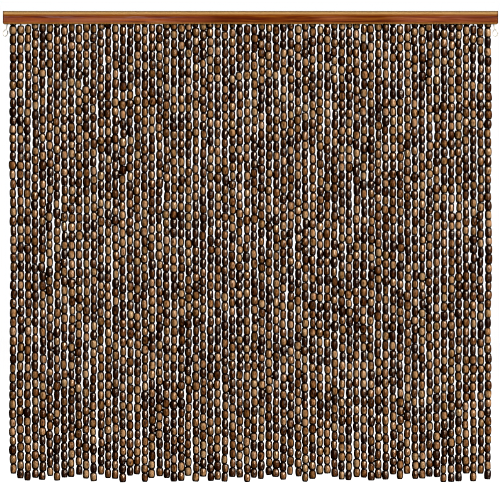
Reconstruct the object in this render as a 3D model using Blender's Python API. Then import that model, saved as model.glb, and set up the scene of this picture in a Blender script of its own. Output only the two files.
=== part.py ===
"""Bead curtain on a wooden rail.

Metres, +Z up. The origin is the middle of the rail's flat back face, which lies against the wall.
The strands hang down -Z, and the front of the curtain faces -Y.
"""

import math
import random

import bmesh
import bpy
from mathutils import Matrix, Vector

# Rail: a moulding with a flat back and top, a rounded upper front edge and a groove underneath.
RAIL_LENGTH = 0.914
RAIL_HEIGHT = 0.0244
RAIL_DEPTH = 0.0220
TOP_FRONT_ROUND = 0.0045
LOWER_FRONT_ROUND = 0.0014
BACK_ROUND = 0.0010
END_CHAMFER = 0.0008
GROOVE_WIDTH = 0.0150
GROOVE_DEPTH = 0.0120
GROOVE_END_WOOD = 0.0115

# Strands: even under the rail, wandering a little sideways and in depth further down.
STRAND_COUNT = 66
STRAND_PITCH = 0.01348
STRAND_WIDTH = 0.0100
STRAND_SIDES = 6
STRAND_SECTIONS = 6
STRAND_REACH = 0.8496
REACH_SPREAD = 0.0088
SWAY_SEED = 66
SLOW_SWAY = 0.0009
QUICK_SWAY = 0.0005
DEPTH_SWAY = 0.0008
SLOW_WAVE = (0.42, 0.70)
QUICK_WAVE = (0.17, 0.30)
SWAY_STARTS_BELOW = 0.20

# Comb heading: the strip in the groove that the strands are joined by.
HEADING_HEIGHT = 0.0030
HEADING_WIDTH = 0.0090

# Screw eyes: bent wire, shank turned into the solid wood at each end of the rail.
WIRE = 0.0018
EYE_WIDTH = 0.0100
EYE_HEIGHT = 0.0135
SHANK_BELOW = 0.0095
SHANK_IN_WOOD = 0.0100
EYE_FROM_END = 0.0078
EYE_LEAN = math.radians(10.5)
EYE_SEGMENTS = 28
WIRE_SIDES = 8

GAP = 0.0003
RAIL_BOTTOM = -RAIL_HEIGHT / 2
RAIL_MIDDLE_Y = -RAIL_DEPTH / 2
GROOVE_ROOF = RAIL_BOTTOM + GROOVE_DEPTH
CUTTER_PAST = 0.002


def clear_scene():
    for old in list(bpy.data.objects):
        bpy.data.objects.remove(old, do_unlink=True)


def material(name, colour, roughness, metallic=0.0):
    made = bpy.data.materials.new(name)
    made.use_nodes = True
    shader = made.node_tree.nodes["Principled BSDF"]
    shader.inputs["Base Color"].default_value = (*colour, 1.0)
    shader.inputs["Roughness"].default_value = roughness
    shader.inputs["Metallic"].default_value = metallic
    return made


def object_from(bm, name, finish=None):
    """A named object holding this bmesh, with its faces turned outwards."""
    bmesh.ops.recalc_face_normals(bm, faces=bm.faces)
    mesh = bpy.data.meshes.new(name)
    bm.to_mesh(mesh)
    bm.free()
    made = bpy.data.objects.new(name, mesh)
    bpy.context.collection.objects.link(made)
    if finish:
        mesh.materials.append(finish)
    return made


def helper(made):
    """A cutter or a joining piece, which is no part of the curtain itself."""
    made.hide_render = True
    made.display_type = "WIRE"
    return made


def boolean(target, other, operation):
    change = target.modifiers.new(other.name, "BOOLEAN")
    change.operation = operation
    change.solver = "EXACT"
    change.object = other


def arc(centre_y, centre_z, radius, start, end, steps):
    """Points of an arc in the YZ plane, from start to end degrees."""
    points = []
    for step in range(steps + 1):
        angle = math.radians(start + (end - start) * step / steps)
        points.append((centre_y + radius * math.cos(angle), centre_z + radius * math.sin(angle)))
    return points


def tube(bm, centres, across, along, radius_across, radius_along, sides):
    """A closed tube through rings of points, each ring spanned by its two directions."""
    rings = []
    for centre, side, deep in zip(centres, across, along):
        ring = []
        for step in range(sides):
            angle = 2 * math.pi * (step + 0.5) / sides
            offset = side * radius_across * math.cos(angle) + deep * radius_along * math.sin(angle)
            ring.append(bm.verts.new(centre + offset))
        rings.append(ring)
    return rings


def join_rings(bm, first, second):
    count = len(first)
    for step in range(count):
        after = (step + 1) % count
        bm.faces.new((first[step], first[after], second[after], second[step]))


# ---- rail ----


def rail_outline():
    """The moulding's section, as Y and Z pairs, anticlockwise from the lower front."""
    front = -RAIL_DEPTH
    low = RAIL_BOTTOM
    high = RAIL_HEIGHT / 2
    lower = arc(front + LOWER_FRONT_ROUND, low + LOWER_FRONT_ROUND, LOWER_FRONT_ROUND, 180, 270, 3)
    lower_back = arc(-BACK_ROUND, low + BACK_ROUND, BACK_ROUND, 270, 360, 2)
    upper_back = arc(-BACK_ROUND, high - BACK_ROUND, BACK_ROUND, 0, 90, 2)
    upper = arc(front + TOP_FRONT_ROUND, high - TOP_FRONT_ROUND, TOP_FRONT_ROUND, 90, 180, 6)
    return lower + lower_back + upper_back + upper


def box(name, low, high):
    bm = bmesh.new()
    bmesh.ops.create_cube(bm, size=1.0)
    size = Vector(high) - Vector(low)
    centre = (Vector(high) + Vector(low)) / 2
    bmesh.ops.transform(bm, matrix=Matrix.Translation(centre) @ Matrix.Diagonal((*size, 1.0)), verts=bm.verts)
    return object_from(bm, name)


def make_rail(finish):
    bm = bmesh.new()
    left = -RAIL_LENGTH / 2
    section = [bm.verts.new((left, y, z)) for y, z in rail_outline()]
    end = bm.faces.new(section)
    grown = bmesh.ops.extrude_face_region(bm, geom=[end])
    far = [item for item in grown["geom"] if isinstance(item, bmesh.types.BMVert)]
    bmesh.ops.translate(bm, verts=far, vec=(RAIL_LENGTH, 0, 0))
    bmesh.ops.recalc_face_normals(bm, faces=bm.faces)
    rims = [edge for edge in bm.edges if abs(edge.verts[0].co.x - edge.verts[1].co.x) < GAP]
    bmesh.ops.bevel(bm, geom=rims, offset=END_CHAMFER, segments=1, affect="EDGES")
    rail = object_from(bm, "rail", finish)
    half_groove = RAIL_LENGTH / 2 - GROOVE_END_WOOD
    groove = box(
        "groove_cutter",
        (-half_groove, RAIL_MIDDLE_Y - GROOVE_WIDTH / 2, RAIL_BOTTOM - CUTTER_PAST),
        (half_groove, RAIL_MIDDLE_Y + GROOVE_WIDTH / 2, GROOVE_ROOF),
    )
    boolean(rail, helper(groove), "DIFFERENCE")
    return rail


# ---- screw eyes ----


def eye_place(side):
    """Where a shank leaves the wood, and the turn that leans it outwards; side is -1 or 1."""
    foot = Vector((side * (RAIL_LENGTH / 2 - EYE_FROM_END), RAIL_MIDDLE_Y, RAIL_BOTTOM))
    return Matrix.Translation(foot) @ Matrix.Rotation(-side * EYE_LEAN, 4, "Y")


def shank_body(name, radius, top, bottom, place):
    bm = bmesh.new()
    bmesh.ops.create_cone(
        bm, cap_ends=True, segments=WIRE_SIDES, radius1=radius, radius2=radius, depth=top - bottom
    )
    bmesh.ops.transform(bm, matrix=place @ Matrix.Translation((0, 0, (top + bottom) / 2)), verts=bm.verts)
    return object_from(bm, name)


def make_screw_eye(name, side, rail, finish):
    place = eye_place(side)
    half_width = (EYE_WIDTH - WIRE) / 2
    half_height = (EYE_HEIGHT - WIRE) / 2
    middle = -SHANK_BELOW - EYE_HEIGHT / 2
    centres = []
    outwards = []
    for step in range(EYE_SEGMENTS):
        angle = 2 * math.pi * step / EYE_SEGMENTS
        centres.append(Vector((half_width * math.cos(angle), 0, middle + half_height * math.sin(angle))))
        outwards.append(Vector((half_height * math.cos(angle), 0, half_width * math.sin(angle))).normalized())
    bm = bmesh.new()
    depths = [Vector((0, 1, 0))] * EYE_SEGMENTS
    rings = tube(bm, centres, outwards, depths, WIRE / 2, WIRE / 2, WIRE_SIDES)
    for ring, following in zip(rings, rings[1:] + rings[:1]):
        join_rings(bm, ring, following)
    bmesh.ops.transform(bm, matrix=place, verts=bm.verts)
    eye = object_from(bm, name, finish)
    shank_low = -SHANK_BELOW - WIRE / 2
    shank = shank_body(name + "_shank", WIRE / 2, SHANK_IN_WOOD, shank_low, place)
    boolean(eye, helper(shank), "UNION")
    bore = shank_body(name + "_bore", WIRE / 2 + GAP, SHANK_IN_WOOD + GAP, -CUTTER_PAST, place)
    boolean(rail, helper(bore), "DIFFERENCE")


# ---- strands ----


def strand_draws():
    """One row of named values for each strand, the same on every run."""
    chance = random.Random(SWAY_SEED)
    rows = []
    for number in range(STRAND_COUNT):
        rows.append(
            {
                "x": (number - (STRAND_COUNT - 1) / 2) * STRAND_PITCH,
                "reach": STRAND_REACH + REACH_SPREAD * chance.uniform(-1, 1),
                "slow_wave": chance.uniform(*SLOW_WAVE),
                "quick_wave": chance.uniform(*QUICK_WAVE),
                "slow_start": chance.uniform(0, 2 * math.pi),
                "quick_start": chance.uniform(0, 2 * math.pi),
                "depth_start": chance.uniform(0, 2 * math.pi),
            }
        )
    return rows


def strand_centre(row, z):
    """The middle of a strand at height z."""
    below = RAIL_BOTTOM - z
    free = min(max(below / SWAY_STARTS_BELOW, 0.0), 1.0)
    slow = SLOW_SWAY * math.sin(2 * math.pi * below / row["slow_wave"] + row["slow_start"])
    quick = QUICK_SWAY * math.sin(2 * math.pi * below / row["quick_wave"] + row["quick_start"])
    deep = DEPTH_SWAY * math.sin(2 * math.pi * below / row["slow_wave"] + row["depth_start"])
    return Vector((row["x"] + free * (slow + quick), RAIL_MIDDLE_Y + free * deep, z))


def make_strand_comb(finish):
    top = GROOVE_ROOF - GAP
    heading_low = top - HEADING_HEIGHT
    half_length = (STRAND_COUNT - 1) / 2 * STRAND_PITCH + STRAND_WIDTH / 2
    comb = box(
        "strand_comb",
        (-half_length, RAIL_MIDDLE_Y - HEADING_WIDTH / 2, heading_low),
        (half_length, RAIL_MIDDLE_Y + HEADING_WIDTH / 2, top),
    )
    comb.data.materials.append(finish)
    strand_top = top - HEADING_HEIGHT / 2
    corner_radius = STRAND_WIDTH / 2 / math.cos(math.pi / STRAND_SIDES)
    bm = bmesh.new()
    for row in strand_draws():
        centres = []
        for step in range(STRAND_SECTIONS + 1):
            centres.append(strand_centre(row, strand_top + (-row["reach"] - strand_top) * step / STRAND_SECTIONS))
        across = [Vector((1, 0, 0))] * len(centres)
        depths = [Vector((0, 1, 0))] * len(centres)
        rings = tube(bm, centres, across, depths, corner_radius, corner_radius, STRAND_SIDES)
        for upper, lower in zip(rings, rings[1:]):
            join_rings(bm, upper, lower)
        bm.faces.new(rings[0])
        bm.faces.new(rings[-1])
    strands = object_from(bm, "strand_bodies")
    boolean(comb, helper(strands), "UNION")


def build():
    clear_scene()
    rail_wood = material("rail_wood", (0.22, 0.060, 0.018), 0.35)
    bead_wood = material("bead_wood", (0.16, 0.085, 0.042), 0.35)
    steel = material("eye_steel", (0.62, 0.62, 0.60), 0.30, 1.0)
    rail = make_rail(rail_wood)
    make_screw_eye("screw_eye_left", -1, rail, steel)
    make_screw_eye("screw_eye_right", 1, rail, steel)
    make_strand_comb(bead_wood)


build()
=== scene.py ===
import math
import random

import bpy
import numpy as np
from mathutils import Matrix, Vector


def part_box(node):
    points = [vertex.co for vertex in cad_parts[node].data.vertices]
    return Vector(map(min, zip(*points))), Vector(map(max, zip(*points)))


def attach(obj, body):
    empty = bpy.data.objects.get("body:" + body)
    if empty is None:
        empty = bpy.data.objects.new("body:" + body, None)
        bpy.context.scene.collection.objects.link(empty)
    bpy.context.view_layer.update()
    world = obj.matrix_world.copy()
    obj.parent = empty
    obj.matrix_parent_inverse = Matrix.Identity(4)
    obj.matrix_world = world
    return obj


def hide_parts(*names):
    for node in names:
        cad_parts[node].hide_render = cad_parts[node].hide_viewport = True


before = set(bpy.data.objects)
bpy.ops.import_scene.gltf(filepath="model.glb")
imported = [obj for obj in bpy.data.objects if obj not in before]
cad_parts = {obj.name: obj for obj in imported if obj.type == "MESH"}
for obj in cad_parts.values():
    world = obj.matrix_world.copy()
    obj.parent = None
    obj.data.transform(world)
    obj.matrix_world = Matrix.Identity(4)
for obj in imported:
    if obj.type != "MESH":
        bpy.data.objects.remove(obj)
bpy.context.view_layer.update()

railLow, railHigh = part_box("rail")
railUnder = railLow.z
railMiddleY = (railLow.y + railHigh.y) / 2


def link(data):
    thing = bpy.data.objects.new(data.name, data)
    bpy.context.collection.objects.link(thing)
    return thing


# camera: straight on, far enough back that the strands stay parallel

camera = {
    "distance": 14.0,
    "frameWidth": 0.9232,         # at the rail's middle
    "middle": (-0.0009, -0.4262),
    "sensor": 36.0,
}


def addCamera():
    lens = bpy.data.cameras.new("frontCamera")
    lens.sensor_width = camera["sensor"]
    lens.lens = camera["sensor"] * camera["distance"] / camera["frameWidth"]
    holder = link(lens)
    x, z = camera["middle"]
    holder.location = (x, railMiddleY - camera["distance"], z)
    holder.rotation_euler = (math.radians(90), 0, 0)
    bpy.context.scene.camera = holder
    bpy.context.scene.cycles.filter_width = 1.0      # crisp edges on small beads


addCamera()
print("camera placed")


# shader maths written as expressions

class Wire:
    def __init__(self, socket):
        self.socket = socket

    def maths(self, operation, other=None, flipped=False):
        made = self.socket.id_data.nodes.new("ShaderNodeMath")
        made.operation = operation
        given = [self] if other is None else [other, self] if flipped else [self, other]
        for entry, value in zip(made.inputs, given):
            plug(entry, value)
        return Wire(made.outputs[0])

    def __add__(self, other):
        return self.maths("ADD", other)

    def __radd__(self, other):
        return self.maths("ADD", other, True)

    def __sub__(self, other):
        return self.maths("SUBTRACT", other)

    def __rsub__(self, other):
        return self.maths("SUBTRACT", other, True)

    def __mul__(self, other):
        return self.maths("MULTIPLY", other)

    def __rmul__(self, other):
        return self.maths("MULTIPLY", other, True)

    def __pow__(self, other):
        return self.maths("POWER", other)

    def __abs__(self):
        return self.maths("ABSOLUTE")

def plug(entry, value):
    if isinstance(value, Wire):
        entry.id_data.links.new(value.socket, entry)
    elif isinstance(value, (tuple, list)) and entry.type == "RGBA" and len(value) == 3:
        entry.default_value = (*value, 1.0)
    else:
        entry.default_value = value


class Finish:
    def __init__(self, name, **fixed):
        self.material = bpy.data.materials.new(name)
        self.material.use_nodes = True
        self.tree = self.material.node_tree
        self.shader = self.tree.nodes["Principled BSDF"]
        self.set(**fixed)

    def set(self, **values):
        for name, value in values.items():
            plug(self.shader.inputs[name.replace("_", " ")], value)

    def node(self, kind, settings=None, inputs=None, out=0):
        made = self.tree.nodes.new("ShaderNode" + kind)
        for name, value in (settings or {}).items():
            if name == "stops":
                fillRamp(made.color_ramp, value)
            else:
                setattr(made, name, value)
        for name, value in (inputs or {}).items():
            plug(made.inputs[name], value)
        return Wire(made.outputs[out])

    def colours(self, factor, first, second, blend="MIX"):
        settings = {"data_type": "RGBA", "blend_type": blend}
        return self.node("Mix", settings, {0: factor, 6: first, 7: second}, 2)

    def noise(self, place, scale, detail=2.0, roughness=0.5):
        inputs = {"Vector": place, "Scale": scale, "Detail": detail, "Roughness": roughness}
        return self.node("TexNoise", None, inputs)

    def spread(self, value, low, high, toLow=0.0, toHigh=1.0):
        names = ["Value", "From Min", "From Max", "To Min", "To Max"]
        return self.node("MapRange", None, dict(zip(names, [value, low, high, toLow, toHigh])))

    def stretched(self, place, scale):
        return self.node("VectorMath", {"operation": "MULTIPLY"}, {0: place, 1: scale})

    def shifted(self, place, by):
        return self.node("VectorMath", {"operation": "ADD"}, {0: place, 1: by})

    def axis(self, place, number):
        return self.node("SeparateXYZ", None, {0: place}, number)

    def ownChance(self, seed):
        return self.node("TexWhiteNoise", {"noise_dimensions": "1D"}, {"W": seed})

    def ramp(self, value, stops):
        return self.node("ValToRGB", {"stops": stops}, {"Fac": value})

    def bump(self, height, depth, strength=1.0):
        inputs = {"Height": height, "Distance": depth, "Strength": strength}
        self.set(Normal=self.node("Bump", None, inputs))


def greys(tones):
    return [(at, (tone,) * 3) for at, tone in tones]


def fillRamp(ramp, stops):
    while len(ramp.elements) > 1:
        ramp.elements.remove(ramp.elements[-1])
    ramp.elements[0].position = stops[0][0]
    ramp.elements[0].color = (*stops[0][1], 1.0)
    for place, colour in stops[1:]:
        ramp.elements.new(place).color = (*colour, 1.0)


# helpers for modelling by hand

wholeTurn = 6.283        # radians


def choose(thing):
    bpy.ops.object.select_all(action="DESELECT")
    thing.select_set(True)
    bpy.context.view_layer.objects.active = thing


def clearPick(kind):
    bpy.ops.object.mode_set(mode="EDIT")
    bpy.ops.mesh.select_all(action="DESELECT")
    bpy.ops.mesh.select_mode(type=kind)
    bpy.ops.object.mode_set(mode="OBJECT")


def pickFaces(thing, test):
    clearPick("FACE")
    for face in thing.data.polygons:
        face.select = test(face)
    bpy.ops.object.mode_set(mode="EDIT")


def pickEdges(thing, test):
    clearPick("EDGE")
    points = thing.data.vertices
    for edge in thing.data.edges:
        edge.select = test(*[points[index].co for index in edge.vertices])
    bpy.ops.object.mode_set(mode="EDIT")


def settle(thing):
    bpy.ops.object.mode_set(mode="OBJECT")
    choose(thing)
    bpy.ops.object.transform_apply(location=True, rotation=True, scale=True)


def smooth(thing, degrees):
    choose(thing)
    bpy.ops.object.shade_smooth_by_angle(angle=math.radians(degrees))


def sweep(name, route, thick, sides, kind):
    curve = bpy.data.curves.new(name, "CURVE")
    curve.dimensions = "3D"
    curve.bevel_depth = thick / 2
    curve.bevel_resolution = sides
    curve.use_fill_caps = True
    line = curve.splines.new(kind)
    line.points.add(len(route) - 1)
    for point, place in zip(line.points, route):
        point.co = (*place, 1.0)
    return link(curve), line


def fit(thing, slot, *nodes):
    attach(thing, "root")
    if nodes:
        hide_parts(*nodes)


# rail: a grooved moulding, stained reddish brown over long straight grain

rail = {
    "grooveWidth": 0.0150,
    "grooveDepth": 0.0120,
    "grooveEndWood": 0.0115,
    "footRound": 0.0030,
    "topFrontRound": 0.0045,
    "backRound": 0.0010,
    "endRound": 0.0008,
    # share of the length from the left, and how pale and rosy the wood is there
    "paleStretches": [
        (0.00, 0.62), (0.12, 0.80), (0.20, 0.78), (0.26, 1.00), (0.38, 0.90), (0.45, 0.06),
        (0.60, 0.05), (0.66, 0.52), (0.70, 0.28), (0.76, 0.05), (0.82, 0.78), (0.88, 0.70), (1.00, 0.42),
    ],
}


def railFinish():
    f = Finish("railStain", Coat_Roughness=0.25, Coat_Weight=0.10, Specular_IOR_Level=0.0)
    place = f.node("TexCoord", out=3)        # object coordinates
    along, depth, height = [f.axis(place, number) for number in range(3)]

    # long grain in three widths, drifting a little across the rail
    drift = (f.noise(f.stretched(place, (3.2, 20.0, 20.0)), 1.0, 1.0) - 0.5) * 6.0
    slant = f.node("CombineXYZ", None, {0: 0.0, 1: drift, 2: drift})
    wide = f.shifted(f.stretched(place, (5.0, 130.0, 150.0)), slant)
    narrow = f.shifted(f.stretched(place, (12.0, 400.0, 400.0)), slant)
    bands = f.noise(wide, 1.0, 2.0, 0.55)
    lines = f.noise(narrow, 1.0, 3.0, 0.6)
    fibre = f.noise(f.stretched(place, (38.0, 1100.0, 1100.0)), 1.0, 3.0, 0.6)
    share = f.spread(along, railLow.x, railHigh.x)
    grain = f.spread(bands * 0.55 + lines * 0.35 + fibre * 0.1 - share * 0.020, 0.390, 0.610)

    # deep red wood, and rosier wood in the pale stretches
    deep = f.ramp(grain, [
        (0.0, (0.055, 0.0062, 0.0005)),
        (0.4, (0.100, 0.0130, 0.0007)),
        (0.7, (0.152, 0.0280, 0.0013)),
        (1.0, (0.240, 0.0740, 0.0060)),
    ])
    rosy = f.ramp(grain, [
        (0.0, (0.100, 0.0190, 0.0080)),
        (0.4, (0.215, 0.0500, 0.0170)),
        (0.7, (0.300, 0.0850, 0.0280)),
        (1.0, (0.380, 0.1500, 0.0600)),
    ])
    paler = f.ramp(share, greys(rail["paleStretches"]))
    body = f.colours(f.spread(paler + (bands - 0.5) * 0.6, 0.25, 0.75), deep, rosy)

    # dusky, maroon and bright streaks of the pale stretches, each at its own height
    lilac = f.noise(f.stretched(place, (11.0, 210.0, 260.0)), 1.0, 3.0, 0.6)
    upper = f.spread(height, -0.0050, 0.0010, 0.25, 1.0)
    dusky = f.spread(lilac, 0.49, 0.57, 0.0, 0.90) * f.spread(paler, 0.35, 0.8) * upper
    body = f.colours(dusky, body, (0.240, 0.134, 0.138))
    maroon = f.spread(height, -0.0022, -0.0004, 0.0, 0.70) * paler * (1 - dusky)
    body = f.colours(maroon, body, (0.130, 0.0230, 0.0130))
    bright = f.spread(height, -0.0004, -0.0022, 0.0, 0.45) * f.spread(height, -0.0078, -0.0060) * paler
    body = f.colours(bright, body, (0.340, 0.0800, 0.0190))

    # painted highlight on the front's rounded upper edge, in three steps: an orange fringe, the pale
    # crown, and a painted dark shade line along the ridge at the top; and painted light on the paler foot
    wavy = height + (lines - 0.5) * 0.0007
    front = f.spread(depth, -0.0172, -0.0195)
    orangeHighlightFringe = f.spread(wavy, 0.0022, 0.0034) * front
    straight = height + (lines - 0.5) * 0.0002
    crownHighlight = f.spread(straight, 0.0053, 0.0064) * front
    # painted shade: a dark line along the ridge at the top of the round
    ridge = f.spread(straight, 0.0089, 0.0103) * front
    # painted light on the lower edge of the front, which faces down away from the lamps
    heelPaintedLight = f.spread(wavy, -0.0082, -0.0102, 0.0, 0.9) * f.spread(depth, -0.0060, -0.0120)
    body = f.colours(orangeHighlightFringe * 0.85, body, (0.230, 0.0620, 0.0030))
    body = f.colours(crownHighlight * 0.97, body, (0.535, 0.3300, 0.1300))
    body = f.colours(ridge * 0.95, body, (0.210, 0.1420, 0.0650))
    body = f.colours(heelPaintedLight, body, (0.290, 0.1220, 0.0220))
    # painted light on the underside
    solePaintedLight = f.spread(height, railLow.z + 0.0012, railLow.z + 0.0004, 0.0, 0.85)
    body = f.colours(solePaintedLight, body, (0.540, 0.310, 0.120))

    # darker end grain
    ends = f.spread(abs(along), railHigh.x - 0.0026, railHigh.x - 0.0004, 0.0, 0.85)
    f.set(Base_Color=f.colours(ends, body, (0.040, 0.0120, 0.0050)))
    f.set(Roughness=f.spread(bands, 0.3, 0.7, 0.56, 0.42))
    f.bump(fibre * 0.6 + lines * 0.4, 0.00010, 0.4)
    return f.material


def flush(a, b, axis, value):
    return abs(a[axis] - value) < 1e-5 and abs(b[axis] - value) < 1e-5


def outermost(a, b):
    return all(abs(abs(point.x) - railHigh.x) < 1e-5 for point in (a, b))


def roundEdges(thing, size, steps, test):
    pickEdges(thing, test)
    bpy.ops.mesh.bevel(offset=size, segments=steps, affect="EDGES")


def makeRail():
    size = railHigh - railLow
    centre = (railHigh + railLow) / 2
    bpy.ops.object.select_all(action="DESELECT")
    bpy.ops.mesh.primitive_cube_add(size=1, location=centre, scale=size)
    thing = bpy.context.active_object
    thing.name = "curtainRail"
    settle(thing)
    wall = (size.y - rail["grooveWidth"]) / 2
    shorter = (size.x - 2 * rail["grooveEndWood"]) / (size.x - 2 * wall)
    pickFaces(thing, lambda face: face.normal.z < -0.9)
    bpy.ops.mesh.inset(thickness=wall)
    bpy.ops.transform.resize(value=(shorter, 1, 1), center_override=centre)
    bpy.ops.mesh.extrude_region_move(TRANSFORM_OT_translate={"value": (0, 0, rail["grooveDepth"])})

    # a long edge has both its corners at the ends, so footRound goes all round the foot,
    # and endRound eases the long edges of the other rounds too
    roundEdges(thing, rail["footRound"], 6, lambda a, b: outermost(a, b) and flush(a, b, 2, railLow.z))
    roundEdges(thing, rail["topFrontRound"], 12,
               lambda a, b: flush(a, b, 1, railLow.y) and flush(a, b, 2, railHigh.z))
    roundEdges(thing, rail["backRound"], 3, lambda a, b: flush(a, b, 1, railHigh.y) and a.z * b.z > 0)
    roundEdges(thing, rail["endRound"], 3, outermost)
    settle(thing)
    smooth(thing, 35)
    thing.modifiers.new("flatFaces", "WEIGHTED_NORMAL").keep_sharp = True
    bpy.ops.object.modifier_apply(modifier="flatFaces")
    thing.data.materials.append(railFinish())
    fit(thing, "rail_wood", "rail")


makeRail()
print("rail made")


# strands: the same places, reach and sway as the comb in the frame

strand = {
    "count": 66,
    "pitch": 0.01348,
    "reach": 0.8496,
    "reachSpread": 0.0088,
    "seed": 66,
    "slowSway": 0.0009,
    "quickSway": 0.0005,
    "depthSway": 0.0008,
    "slowWave": (0.42, 0.70),
    "quickWave": (0.17, 0.30),
    "startsBelow": 0.20,
}


def strandDraws():
    chance = random.Random(strand["seed"])
    rows = []
    for number in range(strand["count"]):
        rows.append({
            "x": (number - (strand["count"] - 1) / 2) * strand["pitch"],
            "reach": strand["reach"] + strand["reachSpread"] * chance.uniform(-1, 1),
            "slowWave": chance.uniform(*strand["slowWave"]),
            "quickWave": chance.uniform(*strand["quickWave"]),
            "slowStart": chance.uniform(0, 2 * math.pi),
            "quickStart": chance.uniform(0, 2 * math.pi),
            "depthStart": chance.uniform(0, 2 * math.pi),
        })
    return rows


def strandCentre(row, z):
    below = railUnder - z
    free = np.clip(below / strand["startsBelow"], 0.0, 1.0)
    slow = strand["slowSway"] * np.sin(2 * math.pi * below / row["slowWave"] + row["slowStart"])
    quick = strand["quickSway"] * np.sin(2 * math.pi * below / row["quickWave"] + row["quickStart"])
    deep = strand["depthSway"] * np.sin(2 * math.pi * below / row["slowWave"] + row["depthStart"])
    return np.stack([row["x"] + free * (slow + quick), railMiddleY + free * deep, z], axis=1)


# beads: closed turned barrels, no two quite alike

bead = {
    "sides": 12,
    "radius": 0.00656,
    "radiusSpread": 0.060,
    "smallest": 0.82,                    # shares of the radius
    "largest": 1.12,
    "length": 0.01665,
    "lengthSpread": 0.045,
    "gap": 0.00006,
    "firstShows": (0.0018, 0.0192),      # depth of the first joint below the rail
    "highest": 0.0117,                   # reach of the first bead into the groove
    "clearance": 0.0001,                 # between beads of neighbouring strands
    "settlingRounds": 14,
    "lean": 1.4,
    "oval": 0.02,
    "taper": 0.035,
    "swell": 0.05,
    "offset": 0.00035,                   # no bead hangs quite centrally
    "profile": [(0.36, 0.975), (0.72, 0.90), (1.0, 0.70)],   # half length, radius
    "seed": 49,
}


def turnBead():
    bpy.ops.object.select_all(action="DESELECT")
    waist = bead["profile"][0][0]
    bpy.ops.mesh.primitive_cylinder_add(vertices=bead["sides"], radius=1, depth=waist,
                                        location=(0, 0, waist / 2))
    thing = bpy.context.active_object
    thing.name = "turnedBead"
    settle(thing)
    for side in (1, -1):
        pickFaces(thing, lambda face: face.normal.z * side > 0.9)
        height, radius = (waist if side > 0 else 0.0), 1.0
        for nextHeight, nextRadius in bead["profile"]:
            if nextHeight > height:
                rise = side * (nextHeight - height)
                bpy.ops.mesh.extrude_region_move(TRANSFORM_OT_translate={"value": (0, 0, rise)})
            bpy.ops.transform.resize(value=(nextRadius / radius, nextRadius / radius, 1))
            height, radius = nextHeight, nextRadius
        bpy.ops.object.mode_set(mode="OBJECT")
    return thing


def threadedStrand(row, chance):
    shows = chance.uniform(*bead["firstShows"])
    pitch = bead["length"] + bead["gap"]
    first = min(bead["length"], shows + bead["highest"])
    total = row["reach"] + railUnder - shows
    count = round(total / pitch)
    lengths = np.array([1 + bead["lengthSpread"] * chance.gauss(0, 1) for _ in range(count)])
    lengths *= (total - count * bead["gap"]) / lengths.sum()
    lengths = np.concatenate([[first], lengths])
    feet = railUnder - shows - np.concatenate([[0.0], np.cumsum(lengths[1:] + bead["gap"])])
    radii = [1 + bead["radiusSpread"] * chance.gauss(0, 1) for _ in lengths]
    return {
        "row": row,
        "middles": strandCentre(row, feet + lengths / 2),
        "radii": bead["radius"] * np.clip(radii, bead["smallest"], bead["largest"]),
        "halves": lengths / 2,
    }


# beads of neighbouring strands push each other aside, as plain turned barrels

def settleStrands(strands):
    heights, radii = zip((0.0, 1.0), *bead["profile"])
    for turn in range(bead["settlingRounds"]):
        for left, right in zip(strands, strands[1:]):
            offset = right["middles"][None] - left["middles"][:, None]
            apart = np.hypot(offset[:, :, 0], offset[:, :, 1])
            share = np.abs(offset[:, :, 2]) / (left["halves"][:, None] + right["halves"][None])
            width = np.interp(share, heights, radii) * (share < 1)
            need = (left["radii"][:, None] + right["radii"][None]) * width + bead["clearance"]
            push = np.maximum(need - apart, 0) / 2
            way = offset[:, :, :2] / apart[:, :, None]
            moveOver(left, -push, way, 1)
            moveOver(right, push, way, 0)


def moveOver(beads, push, way, axis):
    partner = np.abs(push).argmax(axis=axis)
    rows = np.arange(len(partner))
    index = (rows, partner) if axis == 1 else (partner, rows)
    shift = push[index][:, None] * way[index]
    eased = shift.copy()
    eased[1:-1] = shift[1:-1] / 2 + (shift[:-2] + shift[2:]) / 4
    beads["middles"][:, :2] += eased


def joinBeads(number, beads, pattern, chance):
    points = np.array([vertex.co for vertex in pattern.data.vertices])
    faces = [list(face.vertices) for face in pattern.data.polygons]
    allPoints, allFaces, inBead, tones, grains = [], [], [], [], []
    middles = beads["middles"]
    for at in range(len(middles)):
        above = middles[max(at - 1, 0)]
        below = middles[min(at + 1, len(middles) - 1)]
        axis = Vector(above - below).normalized()
        lean = [math.radians(bead["lean"]) * chance.gauss(0, 1) for _ in range(2)]
        turn = axis.to_track_quat("Z", "Y").to_matrix() @ Matrix.Rotation(lean[0], 3, "X")
        turn = turn @ Matrix.Rotation(lean[1], 3, "Y")
        turn = turn @ Matrix.Rotation(chance.uniform(0, wholeTurn), 3, "Z")
        radius = beads["radii"][at]
        oval = 1 + bead["oval"] * chance.gauss(0, 1)
        taper = bead["taper"] * chance.gauss(0, 1)
        swell = bead["swell"] * chance.gauss(0, 1)
        shaped = points * (radius * oval, radius / oval, beads["halves"][at])
        shaped[:, :2] *= (1 + taper * points[:, 2:] + swell * (points[:, 2:] ** 2 - 0.3))
        allFaces += [[corner + len(points) * at for corner in face] for face in faces]
        aside = np.array([chance.gauss(0, 1), 0.5 * chance.gauss(0, 1), 0]) * bead["offset"]
        allPoints.append(shaped @ np.array(turn).T + middles[at] + aside)
        inBead.append(points)
        tones += [chance.random()] * len(points)
        grains += [chance.uniform(0, 100)] * len(points)
    mesh = bpy.data.meshes.new(f"beads_{number:02d}")
    mesh.from_pydata(np.concatenate(allPoints).tolist(), [], allFaces)
    for name, kind, values in (
        ("inBead", "FLOAT_VECTOR", np.concatenate(inBead)),
        ("beadTone", "FLOAT", np.array(tones)),
        ("beadGrain", "FLOAT", np.array(grains)),
    ):
        field = "vector" if kind == "FLOAT_VECTOR" else "value"
        mesh.attributes.new(name, kind, "POINT").data.foreach_set(field, values.astype(np.float32).ravel())
    thing = link(mesh)
    smooth(thing, 42)
    return thing


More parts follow.
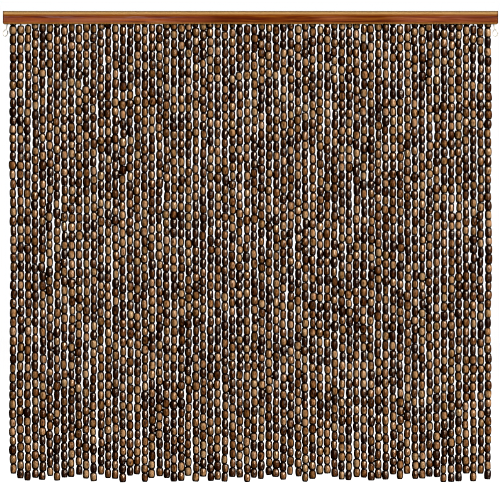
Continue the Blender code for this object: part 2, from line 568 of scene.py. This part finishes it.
def beadFinish():
    f = Finish("beadVarnish", Coat_Roughness=0.22, Specular_IOR_Level=0.0)
    place = f.node("Attribute", {"attribute_name": "inBead"}, None, 1)
    tone = f.node("Attribute", {"attribute_name": "beadTone"}, None, 2)
    grain = f.node("Attribute", {"attribute_name": "beadGrain"}, None, 2)
    sideways = f.axis(place, 1)
    height = f.axis(place, 2)

    # each bead is cut from its own place in the wood
    shift = f.node("CombineXYZ", None, {0: grain, 1: grain * 1.7, 2: grain * 0.6})
    own = f.shifted(f.stretched(place, (1.0, 1.0, 0.55)), shift)
    figure = f.noise(own, 1.6, 2.0, 0.5)
    streaks = f.noise(f.stretched(own, (1.0, 1.0, 0.50)), 3.2, 4.0, 0.6)
    pores = f.noise(f.stretched(own, (1.0, 1.0, 0.30)), 22.0, 2.0, 0.5)
    hue = f.ownChance(grain)
    gloss = f.ownChance(grain + 7.3)
    cut = f.ownChance(grain + 3.1)

    # growth rings show as a dark eye with a pale ring, on some beads more than on others
    rings = (sideways * sideways * 1.1 + height * height * 0.42) ** 0.5 + (figure - 0.5) * 0.7
    eye = f.ramp(rings, greys([
        (0.00, 0.00), (0.16, 0.10), (0.36, 1.00), (0.52, 0.80), (0.72, 0.45), (1.00, 0.42),
    ]))
    ringed = (eye - 0.45) * f.spread(cut, 0.15, 0.65, 0.0, 0.46)
    stain = f.ramp(tone + ringed + (figure - 0.5) * 1.2 + (streaks - 0.5) * 1.2, [
        (0.03, (0.0130, 0.0026, 0.0005)),
        (0.17, (0.034, 0.0088, 0.0016)),
        (0.34, (0.071, 0.0230, 0.0050)),
        (0.50, (0.122, 0.0475, 0.0122)),
        (0.66, (0.187, 0.0880, 0.0285)),
        (0.82, (0.270, 0.1470, 0.0610)),
        (0.97, (0.378, 0.2470, 0.1420)),
    ])
    cast = f.ramp(hue, [
        (0.00, (0.90, 1.04, 0.82)),
        (0.30, (1.00, 1.00, 0.95)),
        (0.50, (1.10, 0.98, 0.72)),
        (0.72, (1.12, 0.88, 0.74)),
        (1.00, (1.00, 0.90, 1.10)),
    ])
    tinted = f.colours(0.45, stain, cast, "MULTIPLY")

    # darkened at the ends where the beads meet, partly burnt-dark wood and partly painted shade, and
    # painted shade on the sides towards the next strand, less so on the outermost sides
    facing = f.axis(f.node("TexCoord", out=1), 0)
    across = f.axis(f.node("TexCoord", out=3), 0)
    outerStrand = strand["pitch"] * (strand["count"] - 1) / 2
    inner = f.spread(abs(across), outerStrand, outerStrand + bead["radius"] / 2, 1.0, 0.3)
    reach = abs(height) ** 3 * 1.6 + abs(facing) ** 3 * 1.9 * inner + (figure - 0.5) * 0.25
    burntAndShaded = f.spread(reach, 0.36, 0.92, 0.0, 0.99)
    f.set(Base_Color=f.colours(burntAndShaded, tinted, (0.0045, 0.0008, 0.0003)))
    f.set(Roughness=f.spread(gloss, 0.0, 1.0, 0.36, 0.54))
    f.set(Coat_Weight=f.spread(gloss + tone * 0.5, 0.40, 1.05, 1.0, 0.06) * (1 - burntAndShaded * 0.8))
    f.bump(figure * 1.6 + streaks * 0.5 + pores * 0.3, 0.00022, 0.4)
    return f.material


def makeStrands():
    chance = random.Random(bead["seed"])
    strands = [threadedStrand(row, chance) for row in strandDraws()]
    settleStrands(strands)
    pattern = turnBead()
    finish = beadFinish()
    for number, beads in enumerate(strands, 1):
        thing = joinBeads(number, beads, pattern, chance)
        thing.data.materials.append(finish)
        fit(thing, "bead_wood", "strand_comb")
        beads["piece"] = thing
    bpy.data.objects.remove(pattern)
    return strands


strands = makeStrands()
print("beads strung:", sum(len(beads["radii"]) for beads in strands))


# threads: dark twisted nylon from the groove's roof down through the closed beads

thread = {
    "thick": 0.0015,
    "declared": 40,      # as many as may be
    "roof": railUnder + rail["grooveDepth"],
}


def threadFinish():
    f = Finish("darkThread", Roughness=0.7)
    place = f.node("TexCoord", out=3)
    inputs = {"Vector": place, "Scale": 320.0, "Distortion": 1.5}
    twist = f.node("TexWave", {"bands_direction": "DIAGONAL"}, inputs)
    f.set(Base_Color=f.colours(twist, (0.012, 0.007, 0.005), (0.050, 0.032, 0.022)))
    f.bump(twist, 0.00015, 0.6)
    return f.material


def hangThread(number, beads, finish):
    middles = beads["middles"]
    first = middles[0] + (0, 0, beads["halves"][0])
    last = middles[-1] - (0, 0, beads["halves"][-1])
    roof = np.array([middles[0][0], middles[0][1], thread["roof"]])
    route = [roof, (roof + first) / 2, first, *middles, last]
    thing, line = sweep(f"thread_{number:02d}", route, thread["thick"], 1, "NURBS")
    line.order_u = 3
    line.use_endpoint_u = True
    line.resolution_u = 2
    thing.data.materials.append(finish)
    fit(thing, "thread", "strand_comb")
    beads["length"] = float(np.linalg.norm(np.diff(np.array(route), axis=0), axis=1).sum())
    return thing


def makeThreads():
    finish = threadFinish()
    for number, beads in enumerate(strands, 1):
        thing = hangThread(number, beads, finish)


makeThreads()
print("threads hung")


# knots: one above each first bead, and one half sunk into each last bead's foot

knot = {
    "ring": 0.00095,
    "cord": 0.00075,
    "turns": 3,
    "rise": 1.1,             # between turns, in cord radii
    "tilt": 24,
    "above": 0.0002,
    "sunk": 0.6,             # in cord radii
    "seed": 3,
}


def tieKnot():
    bpy.ops.object.select_all(action="DESELECT")
    bpy.ops.mesh.primitive_torus_add(major_radius=knot["ring"], minor_radius=knot["cord"],
                                     major_segments=10, minor_segments=6)
    thing = bpy.context.active_object
    rise = knot["cord"] * knot["rise"]
    bpy.ops.object.mode_set(mode="EDIT")
    bpy.ops.mesh.select_all(action="SELECT")
    for turn in range(knot["turns"] - 1):
        bpy.ops.mesh.duplicate()
        bpy.ops.transform.translate(value=(0, 0, rise))
        bpy.ops.transform.rotate(value=math.radians(knot["tilt"]), orient_axis="X",
                                 center_override=(0, 0, rise * (turn + 1)))
    bpy.ops.object.mode_set(mode="OBJECT")
    return thing


def makeKnots(finish):
    pattern = tieKnot()
    chance = random.Random(knot["seed"])
    points = np.array([vertex.co for vertex in pattern.data.vertices])
    faces = [list(face.vertices) for face in pattern.data.polygons]
    allPoints, allFaces = [], []
    for beads in strands:
        over = beads["middles"][0] + (0, 0, beads["halves"][0] + knot["cord"] + knot["above"])
        under = beads["middles"][-1] - (0, 0, beads["halves"][-1] - knot["cord"] * knot["sunk"])
        for place in (over, under):
            turn = np.array(Matrix.Rotation(chance.uniform(0, wholeTurn), 3, "Z"))
            allFaces += [[corner + len(points) * len(allPoints) for corner in face] for face in faces]
            allPoints.append(points @ turn.T + place)
    mesh = bpy.data.meshes.new("threadKnots")
    mesh.from_pydata(np.concatenate(allPoints).tolist(), [], allFaces)
    thing = link(mesh)
    smooth(thing, 60)
    bpy.data.objects.remove(pattern)
    thing.data.materials.append(finish)
    fit(thing, "thread")


makeKnots(bpy.data.materials["darkThread"])
print("knots tied")


# screw eyes: bright wire, bent round to near its own shank, with a cut thread

screwEye = {
    "wire": 0.0018,
    "width": 0.0100,
    "height": 0.0135,
    "below": 0.0095,
    "inWood": 0.0100,
    "fromEnd": 0.0078,
    "lean": 10.5,
    "mouth": 16,             # degrees left open
    "bends": 48,
    "shankStep": 0.0026,
    "shankPoints": 6,
    "neck": 0.0006,
    "screwFrom": 0.0040,     # the cut thread shows down to here
    "screwPitch": 0.0011,
    "screwSteps": 12,        # in one turn
    "screwTip": 0.0010,
    "screwRadius": 0.00082,
    "screwWire": 0.0005,
}


def steelFinish():
    f = Finish("zincPlate", Metallic=0.35)
    place = f.node("TexCoord", out=3)
    cloud = f.noise(place, 900.0, 3.0)
    drawn = f.noise(f.stretched(place, (1.0, 1.0, 0.1)), 4000.0, 2.0)
    dull = f.spread(cloud, 0.35, 0.7)
    f.set(Base_Color=f.colours(dull, (0.62, 0.66, 0.68), (0.42, 0.45, 0.47)))
    f.set(Roughness=f.spread(cloud, 0.3, 0.7, 0.32, 0.48))
    f.bump(drawn, 0.00004, 0.4)
    return f.material


def bendWire(name, route, thick, sides):
    choose(sweep(name, route, thick, sides, "POLY")[0])
    bpy.ops.object.convert(target="MESH")
    return bpy.context.active_object


def makeScrewEye(name, side, node, finish):
    halfWidth = (screwEye["width"] - screwEye["wire"]) / 2
    halfHeight = (screwEye["height"] - screwEye["wire"]) / 2
    middle = -screwEye["below"] - screwEye["height"] / 2
    route = []
    for step in range(screwEye["shankPoints"]):
        route.append((0, 0, screwEye["inWood"] - screwEye["shankStep"] * step))
    route.append((0, 0, -screwEye["below"] + screwEye["neck"]))
    for step in range(screwEye["bends"] + 1):
        angle = math.radians(90 - side * (360 - screwEye["mouth"]) * step / screwEye["bends"])
        route.append((halfWidth * math.cos(angle), 0, middle + halfHeight * math.sin(angle)))
    wire = bendWire(name, route, screwEye["wire"], 4)
    turns = (screwEye["inWood"] + screwEye["screwFrom"]) / screwEye["screwPitch"]
    ridge = []
    for step in range(int(turns * screwEye["screwSteps"])):
        angle = 2 * math.pi * step / screwEye["screwSteps"]
        across = screwEye["screwRadius"] * math.cos(angle)
        deep = screwEye["screwRadius"] * math.sin(angle)
        fall = screwEye["screwPitch"] * step / screwEye["screwSteps"]
        ridge.append((across, deep, screwEye["inWood"] - screwEye["screwTip"] - fall))
    cut = bendWire(name + "Ridge", ridge, screwEye["screwWire"], 0)
    choose(wire)
    cut.select_set(True)
    bpy.ops.object.join()
    foot = (side * (railHigh.x - screwEye["fromEnd"]), railMiddleY, railUnder)
    lean = Matrix.Rotation(-side * math.radians(screwEye["lean"]), 4, "Y")
    wire.data.transform(Matrix.Translation(foot) @ lean)
    smooth(wire, 60)
    wire.data.materials.append(finish)
    fit(wire, "eye_steel", node)


brightSteel = steelFinish()
makeScrewEye("eyeLeft", -1, "screw_eye_left", brightSteel)
makeScrewEye("eyeRight", 1, "screw_eye_right", brightSteel)
print("screw eyes turned in")


# studio: pale floor, white surround and five soft lamps

studio = {
    "floorHeight": -0.96,
    "floorSize": 60.0,
    "floorTone": (0.08, 0.08, 0.08),
    "floorGlow": 0.97,               # keeps the gaps between strands evenly white
    "surround": 0.005,               # light from all round; the surround itself shows white
    "target": -0.42,
    "lamps": {
        "sideLamp": {"azimuth": 56, "elevation": 24, "distance": 30.0, "size": (8.0, 15.0), "watts": 14400,
                     "colour": (1.0, 0.87, 0.73)},
        "keyLamp": {"azimuth": 12, "elevation": 26, "distance": 13.0, "size": (1.4, 2.4), "watts": 420,
                    "colour": (1.0, 0.94, 0.85)},
        "glossLamp": {"azimuth": 20, "elevation": 18, "distance": 13.0, "size": (1.4, 8.0), "watts": 3600,
                      "colour": (1.0, 0.82, 0.62), "shineOnly": True},
        "lowLamp": {"azimuth": 48, "elevation": -34, "distance": 20.0, "size": (7.0, 7.0), "watts": 800,
                    "colour": (1.0, 0.90, 0.78)},
        "backLamp": {"azimuth": 205, "elevation": 28, "distance": 9.0, "size": (5.0, 5.0), "watts": 1000,
                     "behind": True},
    },
}


def aim(azimuth, elevation):
    a, e = math.radians(azimuth), math.radians(elevation)
    return Vector((math.sin(a) * math.cos(e), -math.cos(a) * math.cos(e), math.sin(e)))


def addLamp(name, settings):
    lamp = bpy.data.lights.new(name, "AREA")
    lamp.shape = "RECTANGLE"
    lamp.size, lamp.size_y = settings["size"]
    lamp.energy = settings["watts"]
    lamp.color = settings.get("colour", (1, 1, 1))
    holder = link(lamp)
    way = aim(settings["azimuth"], settings["elevation"])
    holder.rotation_euler = way.to_track_quat("Z", "Y").to_euler()
    holder.location = Vector((0, railMiddleY, studio["target"])) + way * settings["distance"]
    holder.visible_glossy = not settings.get("behind", False)
    holder.visible_diffuse = not settings.get("shineOnly", False)


def makeStudio():
    scene = bpy.context.scene
    scene.view_settings.view_transform = "Standard"
    world = bpy.data.worlds.new("studio")
    world.use_nodes = True
    scene.world = world
    tree = world.node_tree
    sky = tree.nodes["Background"]
    ray = tree.nodes.new("ShaderNodeLightPath")
    seen = Wire(ray.outputs["Is Camera Ray"])
    sky.inputs["Color"].default_value = (1, 1, 1, 1)
    plug(sky.inputs["Strength"], seen * (1.0 - studio["surround"]) + studio["surround"])
    bpy.ops.object.select_all(action="DESELECT")
    bpy.ops.mesh.primitive_plane_add(size=studio["floorSize"], location=(0, 0, studio["floorHeight"]))
    floor = bpy.context.active_object
    floor.name = "paleFloor"
    f = Finish("paleFloor", Base_Color=studio["floorTone"], Roughness=0.9)
    f.set(Emission_Color=(1.0, 1.0, 1.0), Emission_Strength=studio["floorGlow"])
    floor.data.materials.append(f.material)
    floor.visible_diffuse = False
    floor.visible_glossy = False
    for name, settings in studio["lamps"].items():
        addLamp(name, settings)


makeStudio()
print("studio lit")
